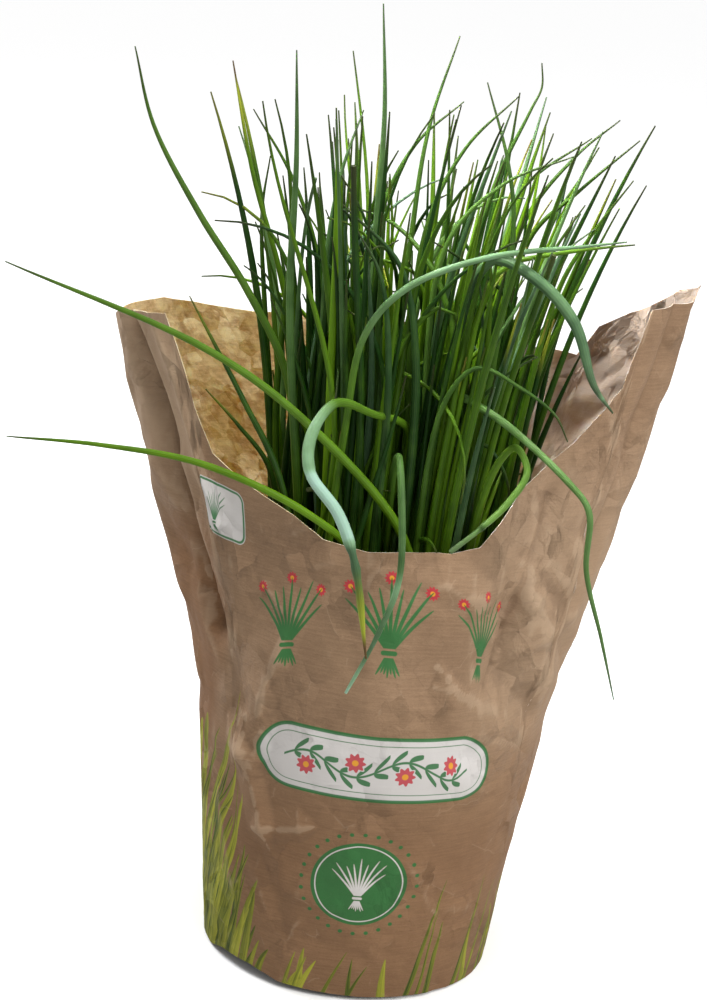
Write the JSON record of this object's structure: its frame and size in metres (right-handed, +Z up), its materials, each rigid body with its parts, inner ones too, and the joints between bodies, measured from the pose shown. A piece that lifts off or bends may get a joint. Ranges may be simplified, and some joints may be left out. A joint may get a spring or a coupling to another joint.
{
  "type": "potted chive bunch in a paper sleeve",
  "caption": "Chive plant in a nursery pot with soil, its round leaves held upright by an open kraft paper sleeve with a low cut-out in front.",
  "frame": {"origin": "middle of the pot's flat base, on the surface it stands on", "axes": "+Z up along the pot's axis; -Y is the front, where the sleeve has its low cut-out; +X is to the right seen from the front"},
  "size_m": [0.2231, 0.1634, 0.3351],
  "materials": {
    "pot": "satin",
    "soil": "matte",
    "paper": "matte",
    "leaf": "satin"
  },
  "bodies": {
    "root": {"pot": "pot", "soil": "soil", "paper_sleeve": "paper", "chive_tuft_1": "leaf", "chive_tuft_2": "leaf", "chive_tuft_3": "leaf", "chive_tuft_4": "leaf", "chive_tuft_5": "leaf", "chive_tuft_6": "leaf", "chive_tuft_7": "leaf"}
  },
  "joints": []
}
